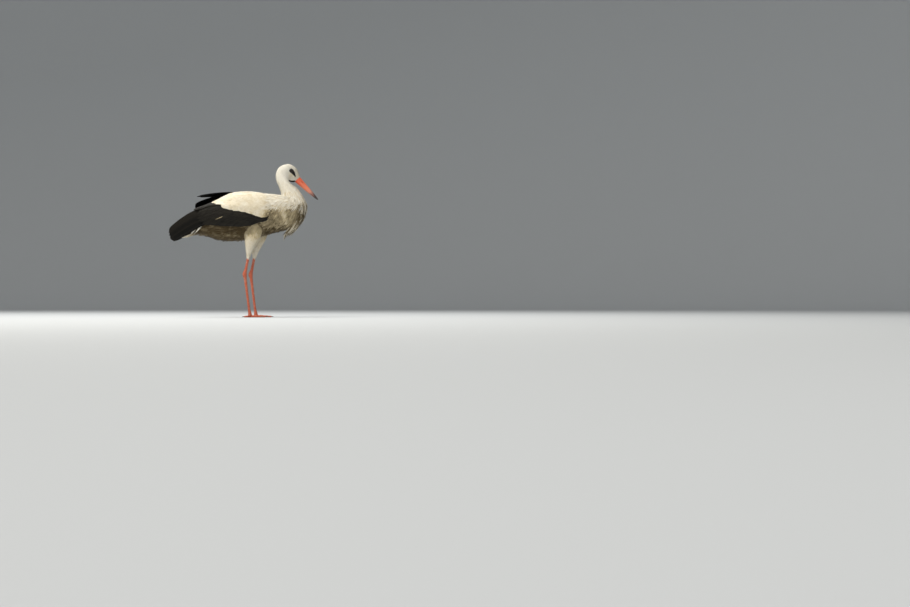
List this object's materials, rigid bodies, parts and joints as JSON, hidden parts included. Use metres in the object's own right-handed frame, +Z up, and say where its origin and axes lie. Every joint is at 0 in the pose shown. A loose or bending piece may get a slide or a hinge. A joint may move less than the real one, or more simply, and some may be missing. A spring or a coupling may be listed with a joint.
{
  "type": "white stork",
  "caption": "Life-size standing white stork with folded black and white wings, neck drawn in and red bill pointing down.",
  "frame": {"origin": "on the floor, under the middle of the bird's bounding box", "axes": "+X the way the bird faces, +Y towards its left side, +Z up"},
  "size_m": [0.7904, 0.2348, 0.82],
  "materials": {
    "white_feathers": "matt cream-white plumage",
    "black_feathers": "brown-black flight feathers with a slight sheen",
    "bill": "smooth orange-red horn, grey at the tip",
    "leg_skin": "matt red scaly skin",
    "eye": "wet dark brown eye",
    "claw": "dark brown horn"
  },
  "bodies": {
    "root": {"bill_lower": "bill", "bill_upper": "bill", "breast": "white_feathers", "breast_hackles": "white_feathers", "claw_hind_l": "claw", "claw_hind_r": "claw", "claw_inner_l": "claw", "claw_inner_r": "claw", "claw_middle_l": "claw", "claw_middle_r": "claw", "claw_outer_l": "claw", "claw_outer_r": "claw", "eye_l": "eye", "eye_r": "eye", "head": "white_feathers", "lifted_feather_l": "black_feathers", "lifted_tertials_l": "black_feathers", "neck_lower": "white_feathers", "neck_middle": "white_feathers", "neck_upper": "white_feathers", "primaries_l": "black_feathers", "primaries_r": "black_feathers", "rump": "white_feathers", "scapulars_l": "white_feathers", "scapulars_r": "white_feathers", "secondaries_l": "black_feathers", "secondaries_r": "black_feathers", "shank_l": "leg_skin", "shank_r": "leg_skin", "tail": "white_feathers", "tarsus_l": "leg_skin", "tarsus_r": "leg_skin", "tertials_l": "black_feathers", "tertials_r": "black_feathers", "thigh_l": "white_feathers", "thigh_r": "white_feathers", "toe_hind_l": "leg_skin", "toe_hind_r": "leg_skin", "toe_inner_l": "leg_skin", "toe_inner_r": "leg_skin", "toe_middle_l": "leg_skin", "toe_middle_r": "leg_skin", "toe_outer_l": "leg_skin", "toe_outer_r": "leg_skin", "trunk": "white_feathers", "wing_coverts_l": "white_feathers", "wing_coverts_r": "white_feathers"}
  },
  "joints": []
}
